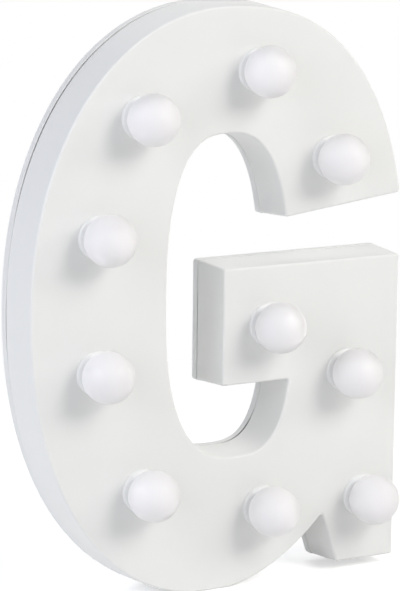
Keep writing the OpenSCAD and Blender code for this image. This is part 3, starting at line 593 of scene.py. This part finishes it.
def block(width, height, place, rear, front, corner=0.02):
    """Plain block about a place, between two depths."""
    return stack(lambda grow: oblong(width, height, corner, place, 1), [(0, rear), (0, front)])


def rod(rows, depth, height, sides=SMALL_SIDES):
    """A bar along x: rows of x and radius go round a line at a depth and a height."""
    rows = np.asarray(rows, float)
    cos, sin = circle(sides)
    x, radius = rows[:, :1], rows[:, 1:]
    return skin(np.stack([x + 0 * cos, depth + radius * cos, height + radius * sin], -1))


print("a block has", len(block(1, 1, (0, 0), 1, 0)[1]), "faces")

# %% The cover's edge and lip
COVER_OVER, COVER_FRONT, COVER_ROUND, PLATE_IN, PLATE_RING = 1.0, 17.9, 0.8, 19.5, 0.3
# Seam: gap where closed, extra gap where open, round of the edge, depths and insets of its groove
GAP, GAPE, SEAM_ROUND, BED_GAP, SEAM_FLOOR, SEAM_IN, BED_IN = 0.05, 0.2, 0.2, 0.02, 18.8, -0.75, -0.6
LIP_FRONT, LIP_OUTSIDE, LIP_INSIDE, LIP_BREAK, LIP_FOOT = 16.5, 2.2, 3.4, 0.2, 0.5
# Places where the cover gapes: middle x and z, reach in x and z, amount
GAPES = [(22, 190, 50, 39, 0.6), (80.6, 100, 5, 26, 0.4), (101, 54, 10, 7, 1.5), (0, 104, 6, 10, 0.4)]


def seam(closed, opened):
    """A depth that changes round the outline, from closed to opened where the cover gapes. Each place
    counts as its amount times e to the power of minus the fourth power of the distance in reaches."""
    def depth(flat):
        x, z = flat.T
        gape = [amount * np.exp(-(((x - mx) / rx) ** 2 + ((z - mz) / rz) ** 2) ** 2)
                for mx, mz, rx, rz, amount in GAPES]
        return closed + (opened - closed) * np.max(gape, axis=0)
    return depth


def lifted(loops, lift=0.6, full_x=25, none_x=75):
    """The rim pushed up a little on its left side: the lift is whole as far as one x and falls evenly
    to nothing at another, and stays within the cover's own height."""
    x, depth, z = np.moveaxis(loops, -1, 0)
    share = np.clip((none_x - x) / (none_x - full_x), 0, 1)
    return np.stack([x, depth, np.clip(z + lift * share, 0, 2 * MID_Z + COVER_OVER)], -1)


seam_bed = seam(SHELL_D + BED_GAP, SEAM_FLOOR)
rim_profile = [
    (PLATE_RING, BODY_D),
    *rounded_edge(COVER_ROUND, -COVER_OVER, BODY_D, to_front=False)[::-1],
    *[(inset, seam(depth + SHELL_D + GAP - COVER_FRONT, depth + GAPE))
      for inset, depth in rounded_edge(SEAM_ROUND, -COVER_OVER, COVER_FRONT, 3)],
    (SEAM_IN, seam(SHELL_D + GAP, COVER_FRONT + GAPE)),
    (BED_IN, seam_bed),
]
lip_profile = [
    (LIP_OUTSIDE, seam_bed),
    (LIP_OUTSIDE, LIP_FRONT + LIP_BREAK), (LIP_OUTSIDE + LIP_BREAK, LIP_FRONT),
    (LIP_INSIDE - LIP_BREAK, LIP_FRONT), (LIP_INSIDE, LIP_FRONT + LIP_BREAK),
    (LIP_INSIDE, PLATE_IN), (LIP_INSIDE + LIP_FOOT, PLATE_IN),
]
cover_loops = np.concatenate([lifted(letter_stack(rim_profile)), letter_stack(lip_profile)])
cover = mesh_object("back_cover_moulding", skin(cover_loops))
print("loops of the cover", len(cover_loops))

# %% What is added inside the cover
LEG_X, EMBED = 134.8, 20.5
BAY_W, BAY_LOW, BAY_TOP, BAY_WALL, BAY_FRONT = 22.3, 34.0, 84.0, 1.5, 7.4
CUP_R, CUP_FRONT = 4.4, 17.7
SWITCH = np.array((LEG_X, 105.0))
POST_R, POST_X, POST_FRONT = 1, 8.5, 17.5
CUT_W, HINGE_Z = 25.1, 87.5
CHEEK_W, CHEEK_H, CHEEK_FRONT = 3.2, 5.7, 16.95

bay_middle = np.array((LEG_X, (BAY_LOW + BAY_TOP) / 2))
added = joined(
    block(BAY_W + 2 * BAY_WALL, BAY_TOP - BAY_LOW + 2 * BAY_WALL, bay_middle, EMBED, BAY_FRONT),
    *[plug(CUP_R, EMBED, CUP_FRONT, p) for p in SCREW_PLACES],
    *[plug(POST_R, EMBED, POST_FRONT, SWITCH + [s * POST_X, 0], TINY_SIDES) for s in (-1, 1)],
)
cheek_x = CUT_W / 2 + CHEEK_W / 2
cheeks = joined(*[block(CHEEK_W, CHEEK_H, (LEG_X + s * cheek_x, HINGE_Z), EMBED, CHEEK_FRONT)
                  for s in (-1, 1)])
print("faces added", len(added[1]) + len(cheeks[1]))

# %% What is cut from the cover
RECESS_R, HEAD_SEAT, SHANK_HOLE_R = 2.7, 19.5, 1.3
KEY_PLACE = np.array((82.0, 196.0))
DISH_W, DISH_H, DISH_R, DISH_D, SLOT_W, SLOT_H = 15.6, 7.6, 1.2, 0.8, 7.6, 3.6
CUT_LOW, CUT_HIGH, CUT_R, LEDGE = 32.3, 89.5, 0.8, 19.95
SCOOP_R, SCOOP_Z, SCOOP_D, SCOOP_EASE = 7, 29.4, 1.0, 0.5
BAY_INSIDE, INNER_R, TROUGH_H, TROUGH_FRONT = 8.6, 0.4, 4.0, 17.8
HINGE_DEPTH, PIN_R, PIN_REACH, PIN_PLAY, PIN_END_PLAY = 19.8, 0.8, 14.25, 0.05, 0.3

recesses = joined(
    *[flared(growing(2 * RECESS_R, 2 * RECESS_R, RECESS_R, p, 12), HEAD_SEAT) for p in SCREW_PLACES],
    flared(lambda grow: keyhole(grow, KEY_PLACE), PLATE_IN - PAST),
    flared(growing(DISH_W, DISH_H, DISH_R, SWITCH), BODY_D - DISH_D),
)
through = joined(
    *[plug(SHANK_HOLE_R, BODY_D, CUP_FRONT - PAST, p, TINY_SIDES) for p in SCREW_PLACES],
    block(SLOT_W, SLOT_H, SWITCH, BODY_D, PLATE_IN - PAST, INNER_R),
)
cut_middle = np.array((LEG_X, (CUT_LOW + CUT_HIGH) / 2))
door_cut = flared(growing(CUT_W, CUT_HIGH - CUT_LOW, CUT_R, cut_middle), LEDGE)
scoop = flared(growing(2 * SCOOP_R, 2 * SCOOP_R, SCOOP_R, (LEG_X, SCOOP_Z), 16),
               BODY_D - SCOOP_D, SCOOP_EASE)
bay = block(BAY_W, BAY_TOP - BAY_LOW, bay_middle, BODY_D, BAY_INSIDE, INNER_R)
trough = block(CUT_W, TROUGH_H, (LEG_X, HINGE_Z), BODY_D, TROUGH_FRONT)
hole_reach, hole_r = PIN_REACH + PIN_END_PLAY, PIN_R + PIN_PLAY
pin_holes = rod([(LEG_X - hole_reach, 0), (LEG_X - hole_reach, hole_r),
                 (LEG_X + hole_reach, hole_r), (LEG_X + hole_reach, 0)],
                HINGE_DEPTH, HINGE_Z, TINY_SIDES)
cuts = (recesses, through, door_cut, scoop, bay, trough, pin_holes)
carve(cover, [("UNION", added), ("UNION", cheeks)] + [("DIFFERENCE", cut) for cut in cuts])
finish_piece(cover, cover_abs, "letter", ["back_cover"])

# %% [markdown]
# ## Globes and sockets
# Each lamp is an opal globe on a short neck, pushed into a socket whose flange shows as a collar
# on the face. Both are turned shapes. The collar has a rounded rim, and its low crown rises to the
# globe and ends in a chamfered mouth, which makes the fine line at the foot of each globe.

# %% Ten globes and their sockets
GLOBE_R, GLOBE_STAND, NECK_R, NECK_L, NECK_BREAK, GLOBE_WALL = 9.6, 9.2, 6.0, 2.4, 0.2, 0.8
COLLAR_R, COLLAR_T, COLLAR_ROUND, MOUTH = 8.2, 1.6, 0.8, 0.4
# Crown of the collar: radius, and rise above its flat
CROWN = [(7.0, 0.25), (6.6, 0.35), (6.3, 0.2)]
BARREL_IN, BARREL_R, BARREL_L, LEDGE_W, LEDGE_T = 6.1, 7.3, 4.6, 1.5, 0.9
GLOBE_SHARP_DEG, SOCKET_SHARP_DEG = 60, 50


def globe_profile():
    """Inner ball from its pole down to the neck's end, round that end, and the outer ball to its pole.
    A ball's rows are its radius times the sine and cosine of an angle from the back."""
    outer, inner = GLOBE_R, GLOBE_R - GLOBE_WALL
    out_end, in_end = math.asin(NECK_R / outer), math.asin((NECK_R - GLOBE_WALL) / inner)
    ball, bowl = np.linspace(out_end, np.pi, 40), np.linspace(np.pi, in_end, 30)
    outer_rows = np.stack([outer * np.sin(ball), outer * np.cos(ball) - GLOBE_STAND], 1)
    inner_rows = np.stack([inner * np.sin(bowl), inner * np.cos(bowl) - GLOBE_STAND], 1)
    neck = [(NECK_R - GLOBE_WALL, NECK_L), (NECK_R - NECK_BREAK, NECK_L), (NECK_R, NECK_L - NECK_BREAK)]
    return np.concatenate([inner_rows, neck, outer_rows])


ledge_in, ledge_front = BARREL_IN - LEDGE_W, BARREL_L - LEDGE_T
socket_rows = np.concatenate([
    [(ledge_in, ledge_front), (ledge_in, BARREL_L), (BARREL_R, BARREL_L), (BARREL_R, 0), (COLLAR_R, 0)],
    rounded_edge(COLLAR_ROUND, 0, -COLLAR_T) * [-1, 1] + [COLLAR_R, 0],
    [(radius, -COLLAR_T - rise) for radius, rise in CROWN],
    [(BARREL_IN, MOUTH - COLLAR_T), (BARREL_IN, ledge_front), (ledge_in, ledge_front)],
])
for number, spot in enumerate(LAMP_PLACES, 1):
    globe = mesh_object(f"opal_globe_{number}", turned(globe_profile(), spot, FINE_SIDES))
    finish_piece(globe, globe_ps, "letter", [f"globe_{number}"], GLOBE_SHARP_DEG)
    collar = mesh_object(f"socket_collar_{number}", turned(socket_rows, spot, FINE_SIDES, caps=False))
    finish_piece(collar, socket_pp, "letter", [f"socket_{number}"], SOCKET_SHARP_DEG)

# %% [markdown]
# ## Screws
# Eight small pan-head screws hold the cover. A screw is one turned profile: a domed head, a flat
# seat, a thread of fine ridges and a point. The cross in the head is cut by two thin blocks.

# %% Metals
METAL_SPREAD, METAL_BUMP, METAL_BUMP_MM, MARK_DETAIL = 0.08, 0.4, 0.004, 3.0


def plated(name, colour, shade, roughness, mark_mm, stretch=(1, 1, 1)):
    """Plated metal: one noise, drawn out along the working direction, moves tone, gloss and surface."""
    finish, tree, shader = new_finish(name)
    shader.inputs["Metallic"].default_value = 1.0
    place = add_node(tree, "TexCoord").outputs["Object"]
    drawn = add_node(tree, "Mapping", None, {"Vector": place, "Scale": stretch})
    marks = noise(tree, drawn.outputs[0], mark_mm, MARK_DETAIL)
    vary(tree, shader, marks, marks, (colour, shade), (roughness, METAL_SPREAD),
         (METAL_BUMP, METAL_BUMP_MM))
    return finish


# Zinc-plated steel: a bluish grey with soft blotches from the plating bath.
screw_zinc = plated("zinc_plated_steel", "#B4B8BD", "#9CA1A8", 0.34, 1.2)
print("metal", screw_zinc.name)

# %% Zinc-plated screws
HEAD_R, HEAD_TOP, DOME_H, HEAD_BREAK = 2.6, 21.1, 1.1, 0.12
SHANK_R, TIP_DEPTH, TIP_L, NECK_GAP, THREAD_H, RIDGES = 1.1, 10.4, 1.4, 0.6, 0.12, 40
CROSS_W, CROSS_L, CROSS_D = 0.75, 3.1, 0.9
dome = np.linspace(0, np.pi / 2, 7)
dome_rows = np.stack([HEAD_R * np.sin(dome), HEAD_TOP - DOME_H * (1 - np.cos(dome))], 1)
thread_depth = np.linspace(HEAD_SEAT - NECK_GAP, TIP_DEPTH + TIP_L, RIDGES)
ridge = THREAD_H * np.cos(np.pi * np.arange(RIDGES))
thread_rows = np.stack([SHANK_R - THREAD_H + ridge, thread_depth], 1)
screw_rows = np.concatenate([
    dome_rows,
    [(HEAD_R, HEAD_SEAT + HEAD_BREAK), (HEAD_R - HEAD_BREAK, HEAD_SEAT), (SHANK_R, HEAD_SEAT)],
    thread_rows, [(0, TIP_DEPTH)],
])
screws = mesh_object("cover_screw_set",
                     joined(*[turned(screw_rows, p, SMALL_SIDES) for p in SCREW_PLACES]))
slots = [joined(*[block(w, h, p, HEAD_TOP + PAST, HEAD_TOP - CROSS_D) for p in SCREW_PLACES])
         for w, h in ((CROSS_W, CROSS_L), (CROSS_L, CROSS_W))]
carve(screws, [("DIFFERENCE", slot) for slot in slots])
finish_piece(screws, screw_zinc, "letter", ["cover_screws"])

# %% [markdown]
# ## Battery door
# The door is a thin plate that swings on two pins at its top, so it rides on its own body. Its edges
# are rounded like the cover's, a small nib at the bottom snaps it shut, and three grooves give a
# fingernail its grip above the scoop.

# %% Door plate, barrel, pins, nib and grooves
DOOR_W, DOOR_LOW, DOOR_IN, DOOR_R = 24.5, 32.9, 20.0, 0.9
DOOR_ROUND, DOOR_RING, DOOR_BREAK = 0.35, 0.7, 0.15
HINGE_R, BARREL_BREAK, PIN_BREAK = 1.7, 0.25, 0.2
NIB_REACH, NIB_R, NIB_DEPTH, NIB_Z, NIB_SIDES = 3.5, 0.675, BODY_D - 0.75, DOOR_LOW + 0.525, 20
GROOVE_W, GROOVE_H, GROOVE_R, GROOVE_D, GROOVE_EASE = 12.25, 0.67, 0.3, 0.4, 0.12
GROOVE_HEIGHTS = (36.9, 38.9, 40.9)


def lid_rows(top, radius, ring):
    """Rows of growth and depth for a flat top with a rounded edge, from a ring inside the edge."""
    return [(-ring, top), *(rounded_edge(radius, 0, top, 4, False)[::-1] * [-1, 1])]


def pin(reach, radius, ease):
    """Rows of a bar about the leg's middle, with its end edges broken."""
    side = [(reach, 0), (reach, radius - ease), (reach - ease, radius)]
    return [(LEG_X - x, r) for x, r in side] + [(LEG_X + x, r) for x, r in side[::-1]]


door_middle = np.array((LEG_X, (DOOR_LOW + HINGE_Z) / 2))
door_rows = lid_rows(BODY_D, DOOR_ROUND, DOOR_RING)
door_rows += [(0, DOOR_IN + DOOR_BREAK), (-DOOR_BREAK, DOOR_IN)]
door = mesh_object("battery_door_moulding",
                   stack(growing(DOOR_W, HINGE_Z - DOOR_LOW, DOOR_R, door_middle), door_rows))
barrel = rod(pin(DOOR_W / 2, HINGE_R, BARREL_BREAK), HINGE_DEPTH, HINGE_Z)
pins = rod(pin(PIN_REACH, PIN_R, PIN_BREAK), HINGE_DEPTH, HINGE_Z, TINY_SIDES)
nib = rod(pin(NIB_REACH, NIB_R, PIN_BREAK), NIB_DEPTH, NIB_Z, NIB_SIDES)
grooves = joined(*[flared(growing(GROOVE_W, GROOVE_H, GROOVE_R, (LEG_X, z)), BODY_D - GROOVE_D,
                          GROOVE_EASE) for z in GROOVE_HEIGHTS])
carve(door, [("UNION", barrel), ("UNION", pins), ("UNION", nib), ("DIFFERENCE", grooves)])
finish_piece(door, cover_abs, "door", ["battery_door"])

# %% [markdown]
# ## Switch knob
# The slide switch shows only its knob in a shallow dish. Two grooves across its top give three ribs.
# It slides sideways, so it rides on its own body.

# %% Ribbed knob
HALF_TRAVEL = 1.5
KNOB_W, KNOB_H, KNOB_R, KNOB_ROUND, KNOB_RING, KNOB_TOP, KNOB_FOOT = 4, 3, 0.5, 0.25, 0.45, 21.2, 18.1
BASE_W, BASE_H, BASE_R, BASE_REAR, BASE_T = 6, 4.4, 0.3, 18.6, 1.4
RIB_GAP, RIB_CUT, RIB_X, RIB_D = 0.55, 4, 0.75, 0.45
knob_place = SWITCH + [-HALF_TRAVEL, 0]
knob = mesh_object("switch_knob_ribbed", stack(
    growing(KNOB_W, KNOB_H, KNOB_R, knob_place),
    [*lid_rows(KNOB_TOP, KNOB_ROUND, KNOB_RING), (0, KNOB_FOOT)]))
base = block(BASE_W, BASE_H, knob_place, BASE_REAR, BASE_REAR - BASE_T, BASE_R)
ribs = joined(*[block(RIB_GAP, RIB_CUT, knob_place + [x, 0], KNOB_TOP + PAST, KNOB_TOP - RIB_D)
                for x in (-RIB_X, RIB_X)])
carve(knob, [("UNION", base), ("DIFFERENCE", ribs)])
finish_piece(knob, knob_abs, "knob", ["switch_knob"])

# %% [markdown]
# ## Cells and springs
# Two AAA cells lie head to tail behind the door. A cell is a turned can with a rolled edge, a nub and
# a printed film, here in plain generic bands. Each tapered spring is a round wire carried along a
# helix.

# %% Film and bare ends of the cells
FILM_IOR, CREASE_MM, CREASE_DETAIL, FILM_GLOSS = 1.5, 1.5, 2.0, (0.16, 0.34)
# Bands along the film: start as a share of the cell's length, colour
BANDS = [(0.0, "#2C5F63"), (0.68, "#D8DBDA"), (0.71, "#E3A23C"), (0.94, "#D8DBDA")]
# Nickel-plated can: bright grey with faint marks of the drawing press.
cell_ends = plated("nickel_plated_can", "#C9CACB", "#B4B6B8", 0.28, 2.0)
# Printed shrink film over the can: glossy, with plain bands along its length.
cell_film, tree, shader = new_finish("printed_shrink_film")
shader.inputs["IOR"].default_value = FILM_IOR
along = add_node(tree, "Attribute", {"attribute_name": "along"})
bands = add_node(tree, "ValToRGB", None, {"Fac": along.outputs["Fac"]})
ramp = bands.color_ramp
ramp.interpolation = "CONSTANT"
for stop, colour in BANDS:
    made = ramp.elements.new(stop) if stop else ramp.elements[0]
    made.color = srgb(colour)
ramp.elements.remove(ramp.elements[-1])
place = add_node(tree, "TexCoord").outputs["Object"]
film_gloss = add_node(tree, "MapRange", None, {
    "Value": noise(tree, place, CREASE_MM, CREASE_DETAIL),
    "To Min": FILM_GLOSS[0], "To Max": FILM_GLOSS[1]})
tree.links.new(bands.outputs[0], shader.inputs["Base Color"])
tree.links.new(film_gloss.outputs[0], shader.inputs["Roughness"])
print("finishes", cell_film.name, cell_ends.name)

# %% Two cells
CELL_R, NUB_R, NUB_H, FILM_EDGE_R, CELL_SIDES, CELL_SHARP_DEG = 5.25, 1.9, 0.8, 4.6, 64, 40
# Rows of radius and height: from the flat end, from the shoulder, and from the tip of the nub
FLAT_END = [(0, 0.12), (3.6, 0.12), (3.9, 0), (4.5, 0), (4.95, 0.12), (CELL_R, 0.45), (CELL_R, 0.8)]
SHOULDER = [(CELL_R, -0.9), (CELL_R, -0.4), (4.95, -0.1), (4.5, 0), (3.9, -0.1), (NUB_R + 0.5, -0.1),
            (NUB_R, 0.1)]
NUB_END = [(NUB_R, -0.2), (NUB_R - 0.2, 0), (0, 0)]


def upright(rows, place):
    """A turned solid that stands up: rows of radius and height go round a line at an x and a depth."""
    cos, sin = circle(CELL_SIDES)
    radius, height = rows[:, :1], rows[:, 1:]
    return skin(np.stack([place[0] + radius * cos, place[1] + radius * sin, height + 0 * cos], -1))


def node_box(name):
    """A node's box in letter millimetres."""
    return np.array(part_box(name)) / MM + [LETTER_W / 2, -FACE_Y, 0]


def triples(items, field):
    """A place that every point or face of a mesh has, as rows of x, y and z."""
    values = np.empty(len(items) * 3)
    items.foreach_get(field, values)
    return values.reshape(-1, 3)


for number, nub_up in ((1, False), (2, True)):
    low, high = node_box(f"battery_{number}")
    length = high[2] - low[2]
    rows = np.concatenate([FLAT_END, np.add(SHOULDER, [0, length - NUB_H]), np.add(NUB_END, [0, length])])
    heights = low[2] + rows[:, 1] if nub_up else high[2] - rows[:, 1]
    stood = np.stack([rows[:, 0], heights], 1)
    can = upright(stood if nub_up else stood[::-1], (low[:2] + high[:2]) / 2)
    cell = mesh_object(f"cell_can_{number}", can)
    finish_piece(cell, cell_film, "letter", [f"battery_{number}"], CELL_SHARP_DEG)
    cell.data.materials.append(cell_ends)
    height = triples(cell.data.vertices, "co")[:, 2] / MM
    share = (height - low[2]) / length if nub_up else (high[2] - height) / length
    lengthwise = cell.data.attributes.new("along", "FLOAT", "POINT")
    lengthwise.data.foreach_set("value", share.astype(np.float32))
    middles = (triples(cell.data.polygons, "center") - to_frame((low + high) / 2)) / MM
    bare = np.hypot(middles[:, 0], middles[:, 1]) < FILM_EDGE_R
    cell.data.polygons.foreach_set("material_index", bare.astype(np.int32))

# %% Tapered contact springs
WIRE_R, SPRING_SHARP_DEG = 0.3, 60


def coil(start_z, end_z, place, wide=3.6, narrow=2.6, turns=3, sides=10, steps=150):
    """Round wire along a tapered helix: the centre line turns while its radius and height change
    evenly, and a small circle stands square to it at every step."""
    share = np.linspace(0, 1, steps)
    turn = 2 * np.pi * turns * share
    radius = wide - WIRE_R + (narrow - wide) * share
    height = start_z + (end_z - start_z) * share
    path = np.stack([place[0] + radius * np.cos(turn), place[1] + radius * np.sin(turn), height], 1)
    ahead = np.gradient(path, axis=0)
    ahead /= np.linalg.norm(ahead, axis=1, keepdims=True)
    out = np.stack([np.cos(turn), np.sin(turn), 0 * turn], 1)
    out -= (out * ahead).sum(1, keepdims=True) * ahead
    out /= np.linalg.norm(out, axis=1, keepdims=True)
    side = np.cross(ahead, out)
    cos, sin = (values[:, None] for values in circle(sides))
    return skin(path[:, None] + WIRE_R * (cos * out[:, None] + sin * side[:, None]))


# Nickel-plated spring wire: bright, with drawing marks along the wire.
spring_nickel = plated("nickel_plated_spring_wire", "#D2D0CB", "#BFBDB8", 0.24, 0.8)
for number, from_top in ((1, True), (2, False)):
    low, high = node_box(f"contact_spring_{number}")
    bottom, top = low[2] + WIRE_R, high[2] - WIRE_R
    ends = (top, bottom) if from_top else (bottom, top)
    spring = mesh_object(f"contact_coil_{number}", coil(*ends, (low[:2] + high[:2]) / 2))
    finish_piece(spring, spring_nickel, "letter", [f"contact_spring_{number}"],
                 SPRING_SHARP_DEG)

# %% [markdown]
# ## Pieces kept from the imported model
# Contacts, wires, boards, diodes, rings, the switch can and the resistor lie inside. Their packed
# shapes are right as they are, so they only get real finishes in place of the plain record colours.


# %% Finishes for the inner pieces
def dress(finish, *names):
    """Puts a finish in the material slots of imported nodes."""
    for name in names:
        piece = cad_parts[name]
        if not piece.material_slots:
            piece.data.materials.append(None)
        for slot in piece.material_slots:
            slot.material = finish
    print(finish.name, len(names), "nodes")


def numbered(name):
    """Names of the nodes that each lamp has one of."""
    return [f"{name}_{i + 1}" for i in range(LAMP_COUNT)]


# Nickel-plated steel strip: bright, with rolling marks along the strip.
dress(plated("nickel_plated_strip", "#CFCDC8", "#BAB8B3", 0.30, 0.9, (1, 1, 6)),
      "contact_positive", "contact_negative", "contact_bridge")
# Blued spring-steel rings: dark grey and slightly oily.
dress(plated("spring_steel_ring", "#83868A", "#6F7276", 0.36, 1.0), "socket_rings")
# Tinplate of the switch can: pale grey with a crystalline bloom.
dress(plated("tinplate_can", "#C3C6C8", "#ABAFB2", 0.33, 0.7), "switch_can")
# Clear epoxy of the diodes: glossy, faintly yellow.
dress(moulded("clear_epoxy_diode", "#F3EEDC", "#EFE8D2", 0.12, 0.8, 0.001, 2.0), *numbered("led"))
# Fibreglass board under a white solder mask: smooth, with a hint of the weave.
dress(moulded("white_solder_mask_board", "#E9EAE6", "#DFE1DC", 0.30, 0.35, 0.010, 3.0),
      *numbered("led_board"))
# PVC sleeves of the wires: soft gloss.
dress(moulded("pvc_sleeve_red", "#B3201C", "#A51B18", 0.38, 0.4, 0.004, 6.0),
      "lead_positive", "lead_switch", "bus_positive")
dress(moulded("pvc_sleeve_black", "#1B1B1D", "#232325", 0.38, 0.4, 0.004, 6.0),
      "lead_negative", "bus_negative")
# Lacquered resistor body: glossy tan.
dress(moulded("lacquered_ceramic_resistor", "#C9A876", "#BE9B68", 0.25, 0.5, 0.004, 1.5), "resistor")
